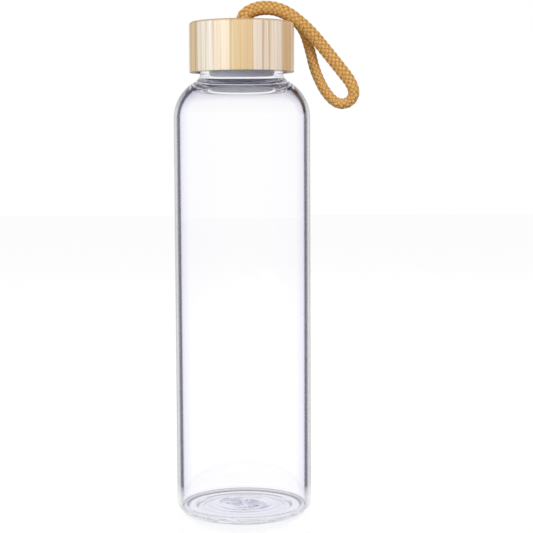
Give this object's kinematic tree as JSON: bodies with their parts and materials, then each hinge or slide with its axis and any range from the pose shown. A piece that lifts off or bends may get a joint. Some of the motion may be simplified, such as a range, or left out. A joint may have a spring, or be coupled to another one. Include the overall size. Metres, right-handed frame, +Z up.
{
  "type": "glass water bottle",
  "caption": "Slim clear glass bottle with a bamboo screw cap and a braided cord loop through the cap's top.",
  "frame": {"origin": "on the bottle's axis, on the plane that it stands on", "axes": "+Z up along the bottle's axis; the cord loop leans over the cap towards +X"},
  "size_m": [0.0882, 0.065, 0.2454],
  "materials": {
    "glass": "clear borosilicate glass, fire polished",
    "bamboo": "laminated bamboo, turned and sanded, thin matt oil",
    "liner_plastic": "moulded natural polypropylene",
    "seal_rubber": "translucent white silicone",
    "cord": "round braided polyester cord, ochre"
  },
  "bodies": {
    "bottle": {"glass_bottle": "glass"},
    "seal": {"seal_ring": "seal_rubber"},
    "cap": {"bamboo_cap": "bamboo", "cap_liner": "liner_plastic"},
    "swivel": {"stopper_knot": "cord", "cord_legs": "cord"},
    "loop": {"carry_loop": "cord"}
  },
  "joints": [
    {"name": "cap_rise", "type": "slide", "parent": "bottle", "child": "seal", "axis": [0, 0, 1], "range_m": [0, 0.0108]},
    {"name": "cap_turn", "type": "hinge", "parent": "seal", "child": "cap", "pos_m": [0, 0, 0.2114], "axis": [0, 0, 1], "range_deg": [0, 1080]},
    {"name": "loop_swivel", "type": "hinge", "parent": "cap", "child": "swivel", "pos_m": [0, 0, 0.235], "axis": [0, 0, 1], "continuous": true},
    {"name": "loop_swing", "type": "hinge", "parent": "swivel", "child": "loop", "pos_m": [0, 0, 0.238], "axis": [0, -1, 0], "range_deg": [0, 110]}
  ],
  "couplings": [
    {"joint": "cap_rise", "follows": "cap_turn", "m_per_rad": 0.00057296}
  ]
}
